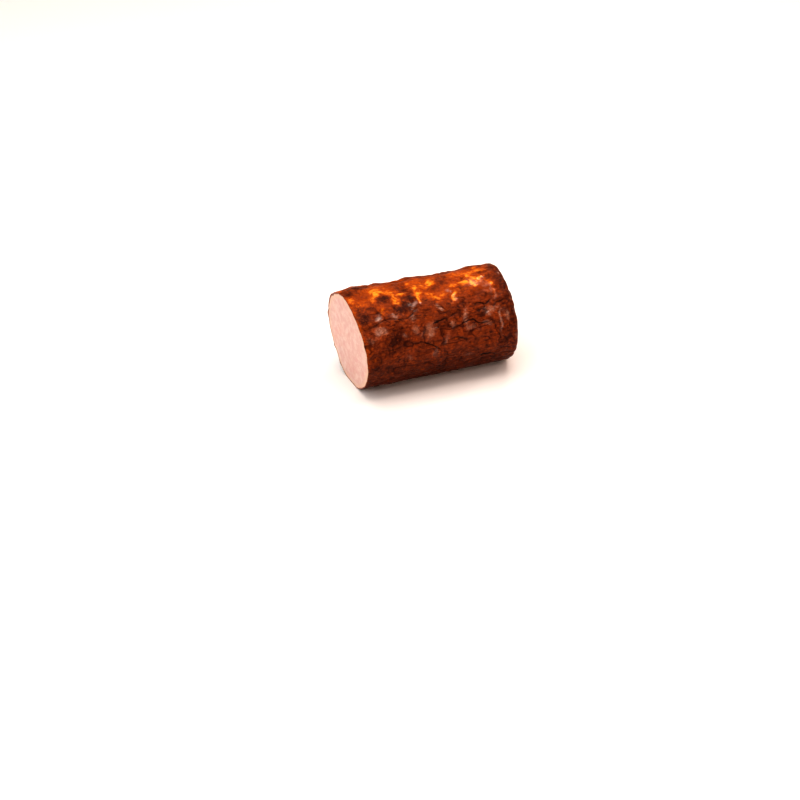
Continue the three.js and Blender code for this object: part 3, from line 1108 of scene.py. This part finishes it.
@dataclass
class SausagePiece:
    """The whole piece as one closed mesh with a skin and a cut face.

    Attributes:
        form: the round form.
        hidden: folds and patches of the sides that don't show.
        columns: grid steps round the piece.
        skin_rows: grid rows from the rim to the tip of the closed end.
        face_rows: grid rows from the skin's cut edge to the middle of the cut face.
        rim: rows over the skin's cut edge, as (millimetres in from the skin, millimetres out of the cut).
        skin_bands: where more of the skin's edge shows, as (turn, millimetres more, half width in degrees).
        face_bulge: how far the middle of the cut face swells out.
        face_power: under 1, it crowds the face's rings towards the rim.
        face_grain: unevenness of the cut face.
        rows: the grid's points, from near the face's middle to near the closed tip.
        middle, tip: the points that close the grid at its two ends.
        attributes: what each point of the grid tells the materials, by name.
    """

    form: RoundForm = field(default_factory=RoundForm)
    hidden: HiddenMarks = field(default_factory=HiddenMarks)
    columns: int = 360
    skin_rows: int = 238
    face_rows: int = 30
    rim: tuple[tuple[float, float], ...] = (
        (0.05, 0.02), (0.22, 0.1), (0.45, 0.08), (0.62, -0.08), (0.85, -0.02),
    )
    skin_bands: tuple[tuple[float, float, float], ...] = (
        (312, 0.7, 30), (276, 1.1, 5), (235, 0.4, 3), (214, 0.5, 3),
    )
    face_bulge: float = 0.35
    face_power: float = 0.85
    face_grain: Swell = Swell(2.4, 2.4, 0.1, 131)
    rows: Array = field(init=False)
    middle: Array = field(init=False)
    tip: Array = field(init=False)
    attributes: dict[str, Array] = field(init=False)

    def __post_init__(self) -> None:
        """Works out the grid, row by row from the middle of the cut face to the closed tip."""
        form = self.form
        way, x, away = (v[:, None] for v in form.outline(self.skin_rows + 1))
        turn = np.linspace(0, 2 * math.pi, self.columns, endpoint=False)[None, :]
        way, x, away, turn = np.broadcast_arrays(way, x, away, turn)
        places = Places(way, np.degrees(turn), x, -away * np.sin(turn), away * np.cos(turn))
        relief = SkinRelief(form, FOLDS_IN_FRONT + self.hidden.draw_folds())
        height, fold, net = relief.work_out(places)
        skin = form.place(x, away, turn, height)
        face, depth = self.cut_face(skin[0])
        for at, more, width in self.skin_bands:
            depth -= more * bell(wrapped(places.turn[0], at), width)
        self.middle = np.array([-self.face_bulge, 0.0, 0.0])
        self.rows = np.concatenate([face, skin[:-1]])
        self.tip = skin[-1].mean(axis=0)

        hidden = self.hidden
        marks = SkinMarks(
            form,
            AMBER_ON_TOP + hidden.draw_patches(hidden.ambers, (2, 6), (0.3, 0.8), 1),
            SMOKE_IN_FRONT + hidden.draw_patches(hidden.smokes, (3, 9), (0.4, 0.9), 2),
            WET_IN_FRONT + hidden.draw_patches(hidden.wets, (1.5, 4), (0.3, 0.8), 3),
        )
        self.attributes = {"rim": np.concatenate([depth, np.zeros((self.skin_rows, self.columns))])}
        # The smoke mark holds painted shade on the low side, the fold and net marks paint shade in the
        # creases, and the wet mark paints sheen.
        for name, grid in (
            ("warm", marks.warmth(places)), ("amber", marks.amber(places)), ("smoke", marks.smoke(places)),
            ("wet", marks.wet(places)), ("fold", fold), ("net", net),
        ):
            self.attributes[name] = np.concatenate([np.zeros_like(depth), grid[:-1]])

    def cut_face(self, edge: Array) -> tuple[Array, Array]:
        """Works out the cut face, from near its middle to the skin's cut edge.

        Each ring is the skin's edge drawn in towards the axis. The face swells by
        bulge · (1 - share²) for the share of the way from the axis to the edge.

        Args:
            edge: the skin's points in the plane of the cut.

        Returns:
            The rings, and each point's distance in from the skin.
        """
        reach = np.hypot(edge[:, 1], edge[:, 2])
        last = self.rim[-1][0]
        inner = np.linspace(0, 1, self.face_rows + 1)[1:-1, None] ** self.face_power
        shares = inner * (1 - last / reach)[None, :]
        ring = edge[None] * shares[..., None]
        rough = self.face_grain.rise(ring[..., 0], ring[..., 1], ring[..., 2])
        ring[..., 0] -= self.face_bulge * (1 - shares**2) + rough
        depth = (1 - shares) * reach[None, :]
        rings, depths = [ring], [depth]
        for inset, out in reversed(self.rim):
            share = 1 - inset / reach
            lip = edge * share[:, None]
            lip[:, 0] -= out
            rings.append(lip[None])
            depths.append(np.full((1, len(edge)), inset))
        return np.concatenate(rings), np.concatenate(depths)

    def build(self) -> tuple[bpy.types.Object, Array]:
        """Writes the mesh in metres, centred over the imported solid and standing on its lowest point.

        Returns:
            The object, and the place of the cut's middle on the floor, in metres.
        """
        rows, columns = self.rows.shape[:2]
        points = np.concatenate([self.middle[None], self.rows.reshape(-1, 3), self.tip[None]]) * MM
        low, high = (np.array(corner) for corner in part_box(NODE))
        shift = (low + high) / 2 - (points.min(axis=0) + points.max(axis=0)) / 2
        shift[2] = low[2] + self.form.radius * MM
        points += shift

        index = 1 + np.arange(rows * columns, dtype=np.int32).reshape(rows, columns)
        after = np.roll(index, -1, axis=1)
        # The turn grows from up towards the front, so this order makes the faces point outwards.
        quads = np.stack([index[:-1], after[:-1], after[1:], index[1:]], -1).reshape(-1, 4)
        start = np.stack([np.zeros(columns, np.int32), after[0], index[0]], -1)
        end = np.stack([index[-1], after[-1], np.full(columns, len(points) - 1, np.int32)], -1)
        corners = np.concatenate([start.ravel(), quads.ravel(), end.ravel()]).astype(np.int32)
        sizes = np.concatenate([np.full(columns, 3), np.full(len(quads), 4), np.full(columns, 3)])
        starts = np.concatenate([[0], np.cumsum(sizes)[:-1]]).astype(np.int32)
        # The cut face's triangles and quads come first, up to the first row of the skin.
        face_quads = (rows - self.skin_rows) * columns
        zones = np.full(len(sizes), Surface.SKIN.value, np.int32)
        zones[:face_quads + columns] = Surface.MEAT.value

        mesh = bpy.data.meshes.new("sausage_piece")
        mesh.vertices.add(len(points))
        mesh.vertices.foreach_set("co", points.astype(np.float32).ravel())
        mesh.loops.add(len(corners))
        mesh.loops.foreach_set("vertex_index", corners)
        mesh.polygons.add(len(sizes))
        mesh.polygons.foreach_set("loop_start", starts)
        mesh.polygons.foreach_set("material_index", zones)
        mesh.polygons.foreach_set("use_smooth", np.ones(len(sizes), bool))
        mesh.update(calc_edges=True)
        # The two points that close the grid take the mean of the row beside them. The cut's middle lies
        # a radius in from the skin.
        for name, grid in self.attributes.items():
            ends = (grid[0].mean() if name != "rim" else self.form.radius, grid[-1].mean())
            values = np.concatenate([[ends[0]], grid.ravel(), [ends[1]]])
            mesh.attributes.new(name, "FLOAT", "POINT").data.foreach_set("value", values.astype(np.float32))
        mesh.validate()
        piece = bpy.data.objects.new("sausage_piece", mesh)
        bpy.context.scene.collection.objects.link(piece)
        return piece, shift * np.array([1, 1, 0])

    def dress(self, piece: bpy.types.Object) -> None:
        """Gives the piece its finishes and its place in the frame."""
        for material in (SmokedSkin().build(), CutMeat().build()):
            piece.data.materials.append(material)
        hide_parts(NODE)
        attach(piece, BODY)


# Studio

@dataclass(frozen=True)
class SoftLight:
    """A square area light.

    Attributes:
        name: of the lamp.
        azimuth: degrees round the piece from the front, positive to the right.
        elevation: degrees above the floor.
        distance: from the piece, in metres.
        size: side, in metres.
        power: in watts.
        colour: as an sRGB hex value.
    """

    name: str
    azimuth: float
    elevation: float
    distance: float
    size: float
    power: float
    colour: str = "#ffffff"

    def build(self) -> None:
        """Places the light and turns it to the piece."""
        azimuth, elevation = math.radians(self.azimuth), math.radians(self.elevation)
        away = Vector((math.sin(azimuth) * math.cos(elevation), -math.cos(azimuth) * math.cos(elevation),
                       math.sin(elevation)))
        lamp = bpy.data.lights.new(self.name, "AREA")
        lamp.shape, lamp.size, lamp.energy = "SQUARE", self.size, self.power
        lamp.color = linear(self.colour)[:3]
        light = bpy.data.objects.new(self.name, lamp)
        light.location = away * self.distance
        light.rotation_euler = away.to_track_quat("Z", "Y").to_euler()
        light.visible_camera = False  # a low lamp would stand in the picture
        bpy.context.scene.collection.objects.link(light)


@dataclass
class Studio:
    """Pale floor and backdrop, soft lights and the camera.

    Attributes:
        camera_from_cut: the camera's place from the cut's middle on the floor, in metres.
        pitch, yaw: degrees the camera looks down, and turns to the right.
        lens, sensor: in millimetres.
        floor_radius: in metres.
        look: contrast of the picture.
        ambient: colour and strength of the light from all round.
        backdrop: strength of the same colour where the camera sees past the floor.
    """

    camera_from_cut: tuple[float, float, float] = (-0.2558, -0.7386, 0.4762)
    pitch: float = 32.0
    yaw: float = 21.32
    lens: float = 70.2
    sensor: float = 36.0
    floor_radius: float = 0.9
    look: str = "High Contrast"
    ambient: tuple[str, float] = ("#ffffff", 0.08)
    backdrop: float = 0.8
    lights: tuple[SoftLight, ...] = (
        SoftLight("overhead_softbox", -120, 80, 1.2, 1.3, 12.5, "#fff8f2"),
        SoftLight("left_softbox", -88, 24, 1.2, 0.8, 4.4, "#fcfdff"),
        SoftLight("front_softbox", 20, 20, 1.6, 0.7, 0.9, "#ffdcc8"),
        SoftLight("raking_softbox", 48, 24, 1.5, 0.5, 1.3, "#ffdcc8"),
        SoftLight("front_spot", 24, 30, 1.3, 0.1, 1.5, "#ffdcc8"),
        SoftLight("middle_spot", 26, 47, 1.3, 0.09, 0.6, "#ffdcc8"),
        SoftLight("side_spot", 62, 36, 1.3, 0.09, 0.6, "#ffdcc8"),
        SoftLight("left_spot", -45, 38, 1.3, 0.12, 1.0),
        SoftLight("high_spot", 61, 67, 1.3, 0.2, 2.2, "#ffe0d0"),
        SoftLight("right_spot", 100, 30, 1.3, 0.15, 1.8, "#ffe6d8"),
        SoftLight("back_spot", 135, 45, 1.3, 0.2, 2.2, "#ffe6d8"),
        SoftLight("low_back_softbox", 165, 16, 1.4, 0.7, 0.9, "#ffeee6"),
    )

    def build_floor(self) -> None:
        """Makes the floor as one round sheet and marks it as stage."""
        turn = np.linspace(0, 2 * math.pi, 96, endpoint=False)
        points = self.floor_radius * np.stack([np.cos(turn), np.sin(turn), np.zeros_like(turn)], -1)
        mesh = bpy.data.meshes.new("studio_floor")
        mesh.from_pydata(points.tolist(), [], [list(range(len(points)))])
        mesh.materials.append(PaleFloor().build())
        floor = bpy.data.objects.new("studio_floor", mesh)
        bpy.context.scene.collection.objects.link(floor)

    def build_camera(self, cut: Array) -> None:
        """Places the camera from the cut's middle on the floor."""
        data = bpy.data.cameras.new("camera")
        data.lens, data.sensor_width = self.lens, self.sensor
        camera = bpy.data.objects.new("camera", data)
        camera.location = Vector(cut) + Vector(self.camera_from_cut)
        camera.rotation_euler = Euler((math.radians(90 - self.pitch), 0, math.radians(-self.yaw)))
        bpy.context.scene.collection.objects.link(camera)
        bpy.context.scene.camera = camera

    def build_light(self) -> None:
        """Makes the lights, the even light from all round and the plain view transform.

        The even light is weak, and the camera sees it stronger, so that it is a pale backdrop.
        """
        scene = bpy.context.scene
        world = bpy.data.worlds.new("studio_air")
        world.use_nodes = True
        background = world.node_tree.nodes["Background"]
        background.inputs["Color"].default_value = linear(self.ambient[0])
        seen = add(world.node_tree, "LightPath").outputs["Is Camera Ray"]
        strength = add(world.node_tree, "MapRange", {0: seen, 3: self.ambient[1], 4: self.backdrop})
        world.node_tree.links.new(strength.outputs[0], background.inputs["Strength"])
        scene.world = world
        for light in self.lights:
            light.build()
        scene.view_settings.view_transform = "Standard"
        scene.view_settings.look = self.look


def main() -> None:
    """Builds the studio and the piece."""
    logging.basicConfig(level=logging.INFO, format="%(name)s: %(message)s")
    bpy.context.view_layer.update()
    sausage = SausagePiece()
    piece, cut = sausage.build()
    log.info("%s: %d faces", piece.name, len(piece.data.polygons))
    sausage.dress(piece)
    studio = Studio()
    studio.build_floor()
    studio.build_camera(cut)
    studio.build_light()
    log.info("studio: %d lights", len(studio.lights))


if __name__ == "__main__":
    main()
